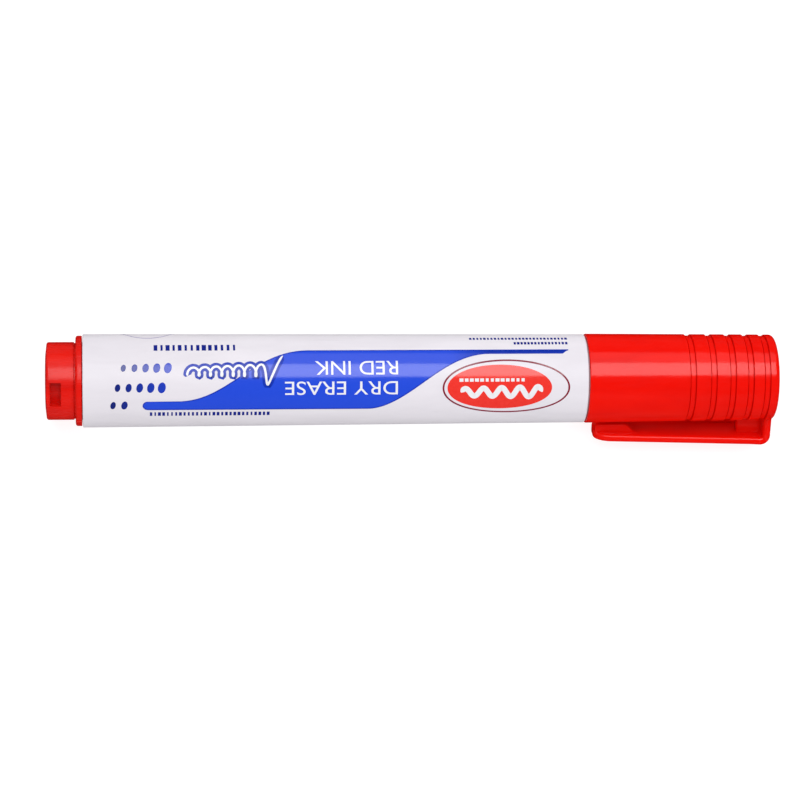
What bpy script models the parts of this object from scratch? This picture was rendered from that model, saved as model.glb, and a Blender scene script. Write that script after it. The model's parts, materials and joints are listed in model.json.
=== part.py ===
"""Whiteboard marker lying on its side with its cap on: a white barrel, a red cap with a pocket clip,
and a red rear plug. The axis runs along X, with the rear plug at -X and the cap at +X. Z is up.
The marker rests on its barrel and on one edge of the clip. Metres throughout."""

import math

import bmesh
import bpy
from mathutils import Matrix

# Driving dimensions. Places along the marker are measured from the middle of its length.
LENGTH = 0.140
GAP = 0.0003
TURN_STEPS = 48
SHARP_ANGLE = math.radians(32)

# Barrel: a slim taper from the rear mouth to the shoulder that the cap stops against.
BARREL_REAR_X = -0.06295
BARREL_SHOULDER_X = 0.0330
BARREL_REAR_RADIUS = 0.00889
BARREL_FRONT_RADIUS = 0.00848
BARREL_BORE_REAR = 0.0077
BARREL_BORE_FRONT = 0.0074
BARREL_EDGE = 0.0004
NECK_RADIUS = 0.0070
NECK_BEAD_RADIUS = 0.0072
NECK_BEAD_X = 0.0375
NECK_BEAD_HALF = 0.0005
NECK_END_X = 0.0440
NECK_BORE = 0.0060
BORE_SHOULDER_X = 0.0335
BORE_SLOPE = 0.0012

# Rear plug: a stub that the cap can be pushed on, a flange, and a skirt inside the barrel.
STUB_RADIUS = 0.0073
STUB_FLAT_RADIUS = 0.0050
STUB_DOME = 0.0002
STUB_EDGE = 0.0004
FLANGE_RADIUS = 0.0085
FLANGE_START_X = -0.0643
FLANGE_BEVEL = 0.0005
SKIRT_RADIUS = BARREL_BORE_REAR - GAP
SKIRT_END_X = -0.0540
PLUG_BORE = 0.0060
PLUG_WALL_X = -0.0664
NOTCH_LENGTH = 0.0030
NOTCH_WIDTH = 0.0048
NOTCH_DEPTH = 0.0017
NOTCH_LEAN = math.radians(22.5)
BAR_LENGTH = 0.0009
BAR_RECESS = 0.0004
CUTTER_MARGIN = 0.001

# Ink reservoir: a fibre rod in a film sleeve, with a hole where the nib goes in.
RESERVOIR_REAR_X = -0.0520
RESERVOIR_FRONT_X = 0.0325
CORE_RADIUS = 0.0064
FILM_INNER_RADIUS = 0.0067
FILM_OUTER_RADIUS = 0.0071
NIB_HOLE_DEPTH = 0.0070

# Nose section: pushed into the barrel's neck, it carries the nib.
NOSE_TAIL_X = 0.0362
NOSE_FLANGE_END_X = 0.0456
NOSE_FLANGE_RADIUS = 0.0070
NOSE_CONE_RADIUS = 0.0064
NOSE_CONE_END_X = 0.0520
NOSE_CONE_END_RADIUS = 0.0040
NIB_TUBE_RADIUS = 0.0036
NIB_TUBE_END_X = 0.0570
NIB_TUBE_END_RADIUS = 0.0033

# Nib: a bullet tip on a fibre rod.
NIB_RADIUS = 0.0025
NIB_TIP_X = 0.0615
NIB_TIP_LENGTH = 0.0028

# Cap: tapers to its closed end, with five grip grooves that draw closer together.
CAP_OPEN_X = 0.0333
CAP_CLOSED_X = LENGTH / 2
CAP_OPEN_RADIUS = 0.00858
CAP_CLOSED_RADIUS = 0.00827
CAP_CORNER = 0.0010
CAP_LIP = 0.0003
CAP_BORE_OPEN = 0.0075
CAP_BORE_CLOSED = 0.0069
CAP_END_WALL_X = 0.0686
GROOVE_COUNT = 5
GROOVE_FIRST_X = 0.0532
GROOVE_FIRST_PITCH = 0.0040
GROOVE_PITCH_RATIO = 0.931
GROOVE_WIDTH = 0.00115
GROOVE_DEPTH = 0.00035
GROOVE_SIDE = 0.00025

# Inner seal: a cup inside the cap that closes round the nib tube.
SEAL_MOUTH_X = 0.0500
SEAL_OUTER_MOUTH = 0.0060
SEAL_OUTER = 0.0065
SEAL_BORE_MOUTH = 0.0053
SEAL_BORE = 0.0040
SEAL_BORE_X = 0.0532
SEAL_FLOOR_X = 0.0672
SEAL_END_X = CAP_END_WALL_X - GAP

# Clip: a strap along the cap, on a web and an end wall that are moulded on the cap.
CLIP_WIDTH = 0.0076
CLIP_THICKNESS = 0.0015
CLIP_ROOT_RADIUS = 0.01292
CLIP_TIP_RADIUS = 0.0119
CLIP_TIP_X = 0.0355
CLIP_TIP_RUN = 0.0025
CLIP_TIP_FLAT = 0.0030
CLIP_TIP_STEPS = 5
CLIP_HINGE_X = 0.0634
CLIP_EDGE = 0.00035
CLIP_CORNER = 0.0019
CLIP_END_X = 0.0699
CLIP_WALL_X = CLIP_END_X - CLIP_THICKNESS
CLIP_WEB_WIDTH = 0.0022
CLIP_FOOT_RADIUS = 0.0080
CLIP_OVERLAP = 0.0005
BUMP_START_X = 0.0357
BUMP_SLOPE_X = 0.0410
BUMP_END_X = 0.0440
BUMP_WIDTH = 0.0046
BUMP_CORNER = 0.0006

# Where the marker lies: the barrel's rear edge and the clip's lower edge both touch the surface.
AXIS_HEIGHT = BARREL_REAR_RADIUS


def clip_lean():
    """How far the clip points below level when its lower edge rests on the surface."""
    along = CLIP_ROOT_RADIUS - CLIP_EDGE
    across = CLIP_WIDTH / 2 - CLIP_EDGE
    reach = math.hypot(along, across)
    return math.asin((AXIS_HEIGHT - CLIP_EDGE) / reach) - math.atan2(across, along)


CLIP_LEAN = clip_lean()
CLIP_SIDE_REACH = (
    (CLIP_ROOT_RADIUS - CLIP_EDGE) * math.cos(CLIP_LEAN)
    + (CLIP_WIDTH / 2 - CLIP_EDGE) * math.sin(CLIP_LEAN)
    + CLIP_EDGE
)
AXIS_Y = (CLIP_SIDE_REACH - BARREL_REAR_RADIUS) / 2
AXIS_PLACE = Matrix.Translation((0.0, AXIS_Y, AXIS_HEIGHT))

# Turns the clip's own frame (X along the marker, Y away from its axis) to where the clip points.
CLIP_TURN = Matrix.Rotation(math.pi + CLIP_LEAN, 4, "X")

WHITE_PLASTIC = ((0.86, 0.86, 0.88), 0.32)
NOSE_PLASTIC = ((0.80, 0.80, 0.82), 0.40)
RED_PLASTIC = ((0.80, 0.02, 0.01), 0.30)
SEAL_PLASTIC = ((0.72, 0.74, 0.76), 0.45)
INKED_FIBRE = ((0.45, 0.01, 0.02), 0.95)
NIB_FIBRE = ((0.60, 0.02, 0.03), 0.90)
CLEAR_FILM = ((0.85, 0.80, 0.80), 0.20)


def clear_scene():
    for obj in list(bpy.data.objects):
        bpy.data.objects.remove(obj, do_unlink=True)


def plastic(name, look):
    colour, roughness = look
    material = bpy.data.materials.new(name)
    material.use_nodes = True
    shader = material.node_tree.nodes["Principled BSDF"]
    shader.inputs["Base Color"].default_value = (*colour, 1.0)
    shader.inputs["Roughness"].default_value = roughness
    shader.inputs["Metallic"].default_value = 0.0
    return material


def object_from(name, bm):
    """A linked object with the bmesh's shape, its faces turned out and its round stretches smooth."""
    bmesh.ops.recalc_face_normals(bm, faces=bm.faces[:])
    mesh = bpy.data.meshes.new(name)
    bm.to_mesh(mesh)
    bm.free()
    mesh.shade_smooth()
    mesh.set_sharp_from_angle(angle=SHARP_ANGLE)
    obj = bpy.data.objects.new(name, mesh)
    bpy.context.scene.collection.objects.link(obj)
    return obj


def turned(name, outline, look):
    """A solid turned about the marker's axis from an outline of (place along X, radius) points.

    An outline that starts and ends on the axis closes there; any other is joined end to end."""
    bm = bmesh.new()
    points = [bm.verts.new((x, 0.0, -radius)) for x, radius in outline]
    on_axis = outline[0][1] == 0.0 and outline[-1][1] == 0.0
    pairs = list(zip(points, points[1:]))
    if not on_axis:
        pairs.append((points[-1], points[0]))
    edges = [bm.edges.new(pair) for pair in pairs]
    bmesh.ops.spin(
        bm,
        geom=points + edges,
        cent=(0.0, 0.0, 0.0),
        axis=(1.0, 0.0, 0.0),
        angle=math.tau,
        steps=TURN_STEPS,
    )
    bmesh.ops.remove_doubles(bm, verts=bm.verts[:], dist=1e-6)
    obj = object_from(name, bm)
    obj.matrix_world = AXIS_PLACE
    obj.data.materials.append(plastic(name, look))
    return obj


def slab(name, outline, width, edge):
    """A flat outline in X and Y made as wide as the clip along Z, centred, with its long edges rounded."""
    bm = bmesh.new()
    corners = [bm.verts.new((x, y, -width / 2)) for x, y in outline]
    face = bm.faces.new(corners)
    swept = bmesh.ops.extrude_face_region(bm, geom=[face])
    moved = [item for item in swept["geom"] if isinstance(item, bmesh.types.BMVert)]
    bmesh.ops.translate(bm, verts=moved, vec=(0.0, 0.0, width))
    if edge:
        rims = [item for item in bm.edges if abs(item.verts[0].co.z - item.verts[1].co.z) < 1e-9]
        bmesh.ops.bevel(
            bm, geom=rims, offset=edge, offset_type="OFFSET", segments=2, profile=0.5, affect="EDGES"
        )
    return object_from(name, bm)


def arc(centre_x, centre_y, radius_x, radius_y, start, end, steps):
    """Points on an ellipse from one angle to another, in degrees, both ends included."""
    angles = [math.radians(start + (end - start) * step / steps) for step in range(steps + 1)]
    return [(centre_x + radius_x * math.cos(a), centre_y + radius_y * math.sin(a)) for a in angles]


def barrel_radius(x):
    share = (x - BARREL_REAR_X) / (BARREL_SHOULDER_X - BARREL_REAR_X)
    return BARREL_REAR_RADIUS + share * (BARREL_FRONT_RADIUS - BARREL_REAR_RADIUS)


def cap_radius(x):
    share = (x - CAP_OPEN_X) / (CAP_CLOSED_X - CAP_OPEN_X)
    return CAP_OPEN_RADIUS + share * (CAP_CLOSED_RADIUS - CAP_OPEN_RADIUS)


def clip_outer(x):
    """The strap's outer face, which leans towards the cap at its tip."""
    share = (x - CLIP_TIP_X) / (CLIP_END_X - CLIP_TIP_X)
    return CLIP_TIP_RADIUS + share * (CLIP_ROOT_RADIUS - CLIP_TIP_RADIUS)


def make_barrel():
    outline = [
        (BARREL_REAR_X, BARREL_BORE_REAR),
        (BARREL_REAR_X, BARREL_REAR_RADIUS - BARREL_EDGE),
        (BARREL_REAR_X + BARREL_EDGE * 0.3, BARREL_REAR_RADIUS - BARREL_EDGE * 0.3),
        (BARREL_REAR_X + BARREL_EDGE, BARREL_REAR_RADIUS),
        (BARREL_SHOULDER_X, BARREL_FRONT_RADIUS),
        (BARREL_SHOULDER_X, NECK_RADIUS),
        (NECK_BEAD_X - 2 * NECK_BEAD_HALF, NECK_RADIUS),
        (NECK_BEAD_X - NECK_BEAD_HALF, NECK_BEAD_RADIUS),
        (NECK_BEAD_X + NECK_BEAD_HALF, NECK_BEAD_RADIUS),
        (NECK_BEAD_X + 2 * NECK_BEAD_HALF, NECK_RADIUS),
        (NECK_END_X, NECK_RADIUS),
        (NECK_END_X, NECK_BORE),
        (BORE_SHOULDER_X + BORE_SLOPE, NECK_BORE),
        (BORE_SHOULDER_X, BARREL_BORE_FRONT),
    ]
    return turned("barrel", outline, WHITE_PLASTIC)


def make_plug():
    """The plug's stub is solid at its end, where a notch is cut into its side for prying it out."""
    rear = -LENGTH / 2
    flange_end = BARREL_REAR_X - GAP
    outline = [
        (rear, 0.0),
        (rear, STUB_FLAT_RADIUS),
        (rear + STUB_DOME, STUB_RADIUS - STUB_EDGE),
        (rear + STUB_DOME + STUB_EDGE * 0.3, STUB_RADIUS - STUB_EDGE * 0.3),
        (rear + STUB_DOME + STUB_EDGE, STUB_RADIUS),
        (FLANGE_START_X, STUB_RADIUS),
        (FLANGE_START_X, FLANGE_RADIUS - FLANGE_BEVEL),
        (FLANGE_START_X + FLANGE_BEVEL * 0.3, FLANGE_RADIUS - FLANGE_BEVEL * 0.3),
        (FLANGE_START_X + FLANGE_BEVEL, FLANGE_RADIUS),
        (flange_end, FLANGE_RADIUS),
        (flange_end, SKIRT_RADIUS),
        (SKIRT_END_X - FLANGE_BEVEL, SKIRT_RADIUS),
        (SKIRT_END_X, SKIRT_RADIUS - FLANGE_BEVEL),
        (SKIRT_END_X, PLUG_BORE),
        (PLUG_WALL_X, PLUG_BORE),
        (PLUG_WALL_X, 0.0),
    ]
    plug = turned("rear_plug", outline, RED_PLASTIC)
    lean = Matrix.Rotation(NOTCH_LEAN, 4, "X")
    floor = STUB_RADIUS - NOTCH_DEPTH
    bar_end = rear + BAR_LENGTH
    notch_end = rear + NOTCH_LENGTH
    above = STUB_RADIUS + CUTTER_MARGIN
    beyond = rear - CUTTER_MARGIN
    side = [
        (beyond, STUB_RADIUS - BAR_RECESS),
        (bar_end, STUB_RADIUS - BAR_RECESS),
        (bar_end, floor),
        (notch_end, floor),
        (notch_end, above),
        (beyond, above),
    ]
    cutter = slab("notch_cutter", side, NOTCH_WIDTH, 0.0)
    upright = Matrix.Rotation(math.pi / 2, 4, "X")
    cutter.matrix_world = AXIS_PLACE @ lean @ upright
    cut = plug.modifiers.new("pry_notch", "BOOLEAN")
    cut.operation = "DIFFERENCE"
    cut.object = hide_helper(cutter)
    return plug


def hide_helper(obj):
    obj.hide_render = True
    obj.display_type = "WIRE"
    return obj


def make_reservoir():
    hole = NIB_RADIUS + GAP
    core = [
        (RESERVOIR_REAR_X, 0.0),
        (RESERVOIR_REAR_X, CORE_RADIUS),
        (RESERVOIR_FRONT_X, CORE_RADIUS),
        (RESERVOIR_FRONT_X, hole),
        (RESERVOIR_FRONT_X - NIB_HOLE_DEPTH, hole),
        (RESERVOIR_FRONT_X - NIB_HOLE_DEPTH, 0.0),
    ]
    turned("ink_reservoir", core, INKED_FIBRE)
    film = [
        (RESERVOIR_REAR_X, FILM_INNER_RADIUS),
        (RESERVOIR_REAR_X, FILM_OUTER_RADIUS),
        (RESERVOIR_FRONT_X, FILM_OUTER_RADIUS),
        (RESERVOIR_FRONT_X, FILM_INNER_RADIUS),
    ]
    turned("reservoir_sleeve", film, CLEAR_FILM)


def make_nose():
    bore = NIB_RADIUS + GAP
    flange_start = NECK_END_X + GAP
    outline = [
        (NOSE_TAIL_X, bore),
        (NOSE_TAIL_X, NECK_BORE - GAP),
        (flange_start, NECK_BORE - GAP),
        (flange_start, NOSE_FLANGE_RADIUS),
        (NOSE_FLANGE_END_X, NOSE_FLANGE_RADIUS),
        (NOSE_FLANGE_END_X, NOSE_CONE_RADIUS),
        (NOSE_CONE_END_X, NOSE_CONE_END_RADIUS),
        (NOSE_CONE_END_X, NIB_TUBE_RADIUS),
        (NIB_TUBE_END_X, NIB_TUBE_END_RADIUS),
        (NIB_TUBE_END_X, bore),
    ]
    turned("nose_section", outline, NOSE_PLASTIC)


def make_nib():
    rear = RESERVOIR_FRONT_X - NIB_HOLE_DEPTH + GAP
    dome = arc(NIB_TIP_X - NIB_TIP_LENGTH, 0.0, NIB_TIP_LENGTH, NIB_RADIUS, 90, 0, 5)
    outline = [(rear, 0.0), (rear, NIB_RADIUS)] + dome[:-1] + [(NIB_TIP_X, 0.0)]
    turned("nib", outline, NIB_FIBRE)


def groove(x):
    """The four points of one grip groove, from its open-end side to its closed-end side."""
    half = GROOVE_WIDTH / 2
    floor = cap_radius(x) - GROOVE_DEPTH
    return [
        (x - half, cap_radius(x - half)),
        (x - half + GROOVE_SIDE, floor),
        (x + half - GROOVE_SIDE, floor),
        (x + half, cap_radius(x + half)),
    ]


def groove_places():
    x = GROOVE_FIRST_X
    pitch = GROOVE_FIRST_PITCH
    places = []
    for _ in range(GROOVE_COUNT):
        places.append(x)
        x += pitch
        pitch *= GROOVE_PITCH_RATIO
    return places


def make_cap():
    """The outline runs from the inside of the end wall, along the bore and the outside, to the axis again."""
    outline = [
        (CAP_END_WALL_X, 0.0),
        (CAP_END_WALL_X, CAP_BORE_CLOSED),
        (CAP_OPEN_X, CAP_BORE_OPEN),
        (CAP_OPEN_X, CAP_OPEN_RADIUS - CAP_LIP),
        (CAP_OPEN_X + CAP_LIP, CAP_OPEN_RADIUS),
    ]
    for x in groove_places():
        outline += groove(x)
    outline += arc(
        CAP_CLOSED_X - CAP_CORNER, CAP_CLOSED_RADIUS - CAP_CORNER, CAP_CORNER, CAP_CORNER, 90, 0, 4
    )
    outline.append((CAP_CLOSED_X, 0.0))
    cap = turned("cap_shell", outline, RED_PLASTIC)
    for name, helper in (("web_joined", clip_web()), ("root_joined", clip_root())):
        join = cap.modifiers.new(name, "BOOLEAN")
        join.operation = "UNION"
        join.object = hide_helper(helper)
    return cap


def clip_web():
    """The narrower web that stands between the cap and the strap's root."""
    start = CLIP_HINGE_X + GAP / 2
    end = CLIP_WALL_X + CLIP_OVERLAP
    top = CLIP_ROOT_RADIUS - CLIP_THICKNESS + CLIP_OVERLAP
    side = [(start, CLIP_FOOT_RADIUS), (end, CLIP_FOOT_RADIUS), (end, top), (start, top)]
    web = slab("clip_web", side, CLIP_WEB_WIDTH, 0.0)
    web.matrix_world = AXIS_PLACE @ CLIP_TURN
    return web


def clip_root():
    """The strap's root and the wall that turns down to the cap at its closed end."""
    start = CLIP_HINGE_X + GAP / 2
    side = [(CLIP_WALL_X, CLIP_FOOT_RADIUS), (CLIP_END_X, CLIP_FOOT_RADIUS)]
    side += arc(
        CLIP_END_X - CLIP_CORNER, CLIP_ROOT_RADIUS - CLIP_CORNER, CLIP_CORNER, CLIP_CORNER, 0, 90, 5
    )
    side.append((start, clip_outer(start)))
    side.append((start, clip_outer(start) - CLIP_THICKNESS))
    side.append((CLIP_WALL_X, clip_outer(CLIP_WALL_X) - CLIP_THICKNESS))
    root = slab("clip_root", side, CLIP_WIDTH, CLIP_EDGE)
    root.matrix_world = AXIS_PLACE @ CLIP_TURN
    return root


def strap_section(x, half_width):
    """The strap's section at this place along the marker: a box with its four corners cut off."""
    outer = clip_outer(x)
    inner = outer - CLIP_THICKNESS
    edge = CLIP_EDGE
    near = half_width - edge
    return [
        (x, outer, near),
        (x, outer - edge, half_width),
        (x, inner + edge, half_width),
        (x, inner, near),
        (x, inner, -near),
        (x, inner + edge, -half_width),
        (x, outer - edge, -half_width),
        (x, outer, -near),
    ]


def clip_strap():
    """The strap from its rounded tip to the hinge, lofted from section to section."""
    sections = []
    for step in range(CLIP_TIP_STEPS + 1):
        angle = math.radians(90 * step / CLIP_TIP_STEPS)
        x = CLIP_TIP_X + CLIP_TIP_RUN * (1 - math.cos(angle))
        across = CLIP_TIP_FLAT / 2 + (CLIP_WIDTH - CLIP_TIP_FLAT) / 2 * math.sin(angle)
        sections.append(strap_section(x, across))
    sections.append(strap_section(CLIP_HINGE_X - GAP / 2, CLIP_WIDTH / 2))
    bm = bmesh.new()
    rings = [[bm.verts.new(point) for point in section] for section in sections]
    for ring, following in zip(rings, rings[1:]):
        for i in range(len(ring)):
            j = (i + 1) % len(ring)
            bm.faces.new((ring[i], ring[j], following[j], following[i]))
    bm.faces.new(rings[0])
    bm.faces.new(rings[-1])
    return object_from("pocket_clip", bm)


def clip_bump():
    """The narrower bump under the strap's tip that grips a pocket."""
    floor = cap_radius(BUMP_START_X) + GAP
    top = clip_outer(BUMP_START_X) - CLIP_THICKNESS + CLIP_OVERLAP
    end = clip_outer(BUMP_END_X) - CLIP_THICKNESS
    side = [(BUMP_START_X, top)]
    side += arc(BUMP_START_X + BUMP_CORNER, floor + BUMP_CORNER, BUMP_CORNER, BUMP_CORNER, 180, 270, 3)
    side += [(BUMP_SLOPE_X, floor), (BUMP_END_X, end), (BUMP_END_X, end + CLIP_OVERLAP)]
    return slab("clip_bump", side, BUMP_WIDTH, 0.0)


def make_clip():
    """The strap that springs away from the cap, joined with its bump."""
    clip = clip_strap()
    clip.matrix_world = AXIS_PLACE @ CLIP_TURN
    clip.data.materials.append(plastic("pocket_clip", RED_PLASTIC))
    bump = clip_bump()
    bump.matrix_world = AXIS_PLACE @ CLIP_TURN
    join = clip.modifiers.new("bump_joined", "BOOLEAN")
    join.operation = "UNION"
    join.object = hide_helper(bump)
    return clip


def make_seal():
    outline = [
        (SEAL_END_X, 0.0),
        (SEAL_END_X, SEAL_OUTER),
        (SEAL_BORE_X, SEAL_OUTER),
        (SEAL_MOUTH_X, SEAL_OUTER_MOUTH),
        (SEAL_MOUTH_X, SEAL_BORE_MOUTH),
        (SEAL_BORE_X, SEAL_BORE),
        (SEAL_FLOOR_X, SEAL_BORE),
        (SEAL_FLOOR_X, 0.0),
    ]
    turned("inner_seal", outline, SEAL_PLASTIC)


clear_scene()
make_barrel()
make_plug()
make_reservoir()
make_nose()
make_nib()
make_cap()
make_clip()
make_seal()
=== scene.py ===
"""A red whiteboard marker on a pale table: barrel, plug, cap and clip, and the barrel's print.

The marker's axis runs along X, its cap is at +X, Z is up, and all sizes are in metres. The
print is laid out flat, X along the marker and Y round the barrel from its top line, and is
then wrapped on the barrel.
"""

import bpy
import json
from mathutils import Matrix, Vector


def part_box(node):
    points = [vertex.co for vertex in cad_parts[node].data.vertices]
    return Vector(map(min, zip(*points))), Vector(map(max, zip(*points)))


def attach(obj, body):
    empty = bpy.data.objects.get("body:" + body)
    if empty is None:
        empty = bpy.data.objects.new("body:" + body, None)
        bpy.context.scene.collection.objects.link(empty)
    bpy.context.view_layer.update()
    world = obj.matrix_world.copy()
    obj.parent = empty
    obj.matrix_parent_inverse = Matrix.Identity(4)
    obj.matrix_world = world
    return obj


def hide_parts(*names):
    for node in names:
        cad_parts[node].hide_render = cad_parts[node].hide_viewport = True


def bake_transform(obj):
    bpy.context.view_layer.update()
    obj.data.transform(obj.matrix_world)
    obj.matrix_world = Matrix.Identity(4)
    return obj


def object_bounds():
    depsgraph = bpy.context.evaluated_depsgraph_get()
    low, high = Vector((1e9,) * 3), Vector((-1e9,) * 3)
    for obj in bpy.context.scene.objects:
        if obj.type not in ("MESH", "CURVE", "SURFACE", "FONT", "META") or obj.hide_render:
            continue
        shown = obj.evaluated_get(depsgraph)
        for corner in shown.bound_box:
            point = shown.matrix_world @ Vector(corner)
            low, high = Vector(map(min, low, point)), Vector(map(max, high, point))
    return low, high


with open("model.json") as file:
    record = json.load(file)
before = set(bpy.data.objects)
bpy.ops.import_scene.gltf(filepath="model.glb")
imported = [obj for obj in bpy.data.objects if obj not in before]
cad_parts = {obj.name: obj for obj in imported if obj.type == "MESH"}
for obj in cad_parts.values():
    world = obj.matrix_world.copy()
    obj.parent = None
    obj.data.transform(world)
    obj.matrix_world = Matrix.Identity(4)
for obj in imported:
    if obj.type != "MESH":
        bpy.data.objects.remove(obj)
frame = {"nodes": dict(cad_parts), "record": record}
cad_box = [list(corner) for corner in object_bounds()]

import json
import math

import bmesh
import bpy
from mathutils import Matrix, Vector

MM = 0.001

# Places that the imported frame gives.
BARREL_LOW, BARREL_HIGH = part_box("barrel")
CAP_LOW, CAP_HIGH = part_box("cap_shell")
PLUG_LOW, PLUG_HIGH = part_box("rear_plug")
NOSE_LOW, NOSE_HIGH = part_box("nose_section")
NIB_LOW, NIB_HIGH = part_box("nib")
JOINTS = {joint["name"]: joint for joint in frame["record"]["behaviour"]["joints"]}
AXIS_Y = (BARREL_LOW[1] + BARREL_HIGH[1]) / 2
AXIS_Z = (BARREL_LOW[2] + BARREL_HIGH[2]) / 2
HINGE_SLANT = JOINTS["clip_flex"]["axis"]
CLIP_LEAN = math.atan2(-HINGE_SLANT[1], HINGE_SLANT[2])
ON_AXIS = Matrix.Translation((0.0, AXIS_Y, AXIS_Z))
AT_CLIP = ON_AXIS @ Matrix.Rotation(math.pi + CLIP_LEAN, 4, "X")

# Barrel.
BARREL_REAR = BARREL_LOW[0]
BARREL_REAR_RADIUS = (BARREL_HIGH[1] - BARREL_LOW[1]) / 2
CAP_MOUTH = CAP_LOW[0]
SHOULDER = CAP_MOUTH - 0.3 * MM
BARREL_FRONT_RADIUS = 8.48 * MM
NECK_RADIUS = 7.0 * MM
NECK_END = BARREL_HIGH[0]

# Cap.
CAP_END = CAP_HIGH[0]
CAP_MOUTH_RADIUS = 8.58 * MM
CAP_END_RADIUS = 8.27 * MM

# Clip: places along the marker, and distances from its axis.
CLIP_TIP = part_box("pocket_clip")[0][0]
CLIP_END = CAP_HIGH[0] - 0.1 * MM
CLIP_WIDTH = 7.6 * MM
CLIP_THICKNESS = 1.5 * MM
CLIP_TIP_RADIUS = 11.9 * MM
CLIP_ROOT_RADIUS = 12.92 * MM
CLIP_CORNER = 1.9 * MM
TIP_RUN = 3.2 * MM
TIP_FLAT = 2.6 * MM
BUMP_START = 35.7 * MM
BUMP_SLOPE = 41.0 * MM
BUMP_END = 44.0 * MM
BUMP_WIDTH = 4.6 * MM
WEB_START = JOINTS["clip_flex"]["pos_m"][0] + 0.3 * MM

# Rear plug.
PLUG_END = PLUG_LOW[0]
STUB_RADIUS = 7.4 * MM
FLANGE_RADIUS = (PLUG_HIGH[1] - PLUG_LOW[1]) / 2 + 0.1 * MM
FLANGE_START = -64.3 * MM
FLANGE_END = BARREL_REAR - 0.14 * MM

# Print: how far each layer stands over the barrel, how thick it is, and how wide its strips are.
PRINT_LIFT = 0.018 * MM
WORD_LIFT = 0.030 * MM
TOP_LIFT = 0.042 * MM
CORE_LIFT = TOP_LIFT + 0.012 * MM
PRINT_DEPTH = 0.05 * MM
PRINT_STEP = 0.4 * MM

# Names of the sizes that place a row of printed marks.
ROW_SIZES = ("Start", "Pitch", "Around")
DOT_SIZES = ROW_SIZES + ("First Width", "Last Width", "First Height", "Last Height")
BAR_SIZES = ROW_SIZES + ("Height", "Shortest", "Longest")

# Steps in a turned piece.
FULL_TURN = 192


# ------------------------ materials


def start_material(name, roughness=0.3):
    """A new material with its nodes, its links and its shader, which has this plain roughness."""
    material = bpy.data.materials.new(name)
    material.use_nodes = True
    nodes = material.node_tree.nodes
    shader = nodes["Principled BSDF"]
    shader.inputs["Roughness"].default_value = roughness
    return material, nodes, material.node_tree.links, shader


def object_places(nodes, links, stretch=(1.0, 1.0, 1.0)):
    """Object coordinates, scaled. A small number along X draws a pattern out along it."""
    coordinates = nodes.new("ShaderNodeTexCoord")
    mapping = nodes.new("ShaderNodeMapping")
    mapping.inputs["Scale"].default_value = stretch
    links.new(coordinates.outputs["Object"], mapping.inputs["Vector"])
    return mapping.outputs["Vector"]


def noise(nodes, links, places, scale, detail=3.0, roughness=0.5, distortion=0.0):
    texture = nodes.new("ShaderNodeTexNoise")
    texture.inputs["Scale"].default_value = scale
    texture.inputs["Detail"].default_value = detail
    texture.inputs["Roughness"].default_value = roughness
    texture.inputs["Distortion"].default_value = distortion
    links.new(places, texture.inputs["Vector"])
    return texture.outputs["Fac"]


def ramp(nodes, links, factor, stops):
    """A colour ramp with (place, colour) stops."""
    node = nodes.new("ShaderNodeValToRGB")
    points = node.color_ramp.elements
    points[0].position, points[1].position = stops[0][0], stops[-1][0]
    points[0].color, points[1].color = (*stops[0][1], 1.0), (*stops[-1][1], 1.0)
    for place, colour in stops[1:-1]:
        points.new(place).color = (*colour, 1.0)
    links.new(factor, node.inputs["Fac"])
    return node.outputs["Color"]


def spread(nodes, links, factor, low, high, from_low=0.3, from_high=0.7):
    """The factor mapped from its usual range to low..high."""
    node = nodes.new("ShaderNodeMapRange")
    node.inputs["From Min"].default_value = from_low
    node.inputs["From Max"].default_value = from_high
    node.inputs["To Min"].default_value = low
    node.inputs["To Max"].default_value = high
    links.new(factor, node.inputs["Value"])
    return node.outputs["Result"]


def mix(nodes, links, factor, first, second):
    """A colour mix. first and second are a colour or a socket."""
    node = nodes.new("ShaderNodeMix")
    node.data_type = "RGBA"
    links.new(factor, node.inputs["Factor"])
    sockets = [s for s in node.inputs if s.type == "RGBA"]
    for socket, value in zip(sockets, (first, second)):
        if isinstance(value, tuple):
            socket.default_value = (*value, 1.0)
        else:
            links.new(value, socket)
    return [s for s in node.outputs if s.type == "RGBA"][0]


def bumps(nodes, links, shader, heights):
    """Chains bumps onto the shader from (height socket, strength, distance) entries."""
    normal = None
    for height, strength, distance in heights:
        bump = nodes.new("ShaderNodeBump")
        bump.inputs["Strength"].default_value = strength
        bump.inputs["Distance"].default_value = distance
        links.new(height, bump.inputs["Height"])
        if normal:
            links.new(normal, bump.inputs["Normal"])
        normal = bump.outputs["Normal"]
    links.new(normal, shader.inputs["Normal"])


def moulded_plastic(name, colours, roughness, gloss, peel=0.12):
    """Glossy moulded plastic: faint flow marks, streaks of wear, orange peel and fine grain."""
    material, nodes, links, shader = start_material(name)
    along = object_places(nodes, links, (0.25, 1.0, 1.0))
    even = object_places(nodes, links)
    flow = noise(nodes, links, along, 260.0, detail=4.0, roughness=0.55, distortion=0.6)
    tint = ramp(nodes, links, flow, tuple(zip((0.30, 0.52, 0.74), colours)))
    links.new(tint, shader.inputs["Base Color"])
    streaks = object_places(nodes, links, (0.07, 1.0, 1.0))
    wear = noise(nodes, links, streaks, 1100.0, detail=5.0, roughness=0.65)
    low, high = roughness
    links.new(spread(nodes, links, wear, low, high), shader.inputs["Roughness"])
    orange_peel = noise(nodes, links, even, 700.0, detail=2.0, roughness=0.4)
    grain = noise(nodes, links, even, 6500.0, detail=2.0, roughness=0.5)
    bumps(nodes, links, shader, ((orange_peel, peel, 0.00002), (grain, 0.12, 0.000006)))
    shader.inputs["Specular IOR Level"].default_value = gloss
    return material


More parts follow.
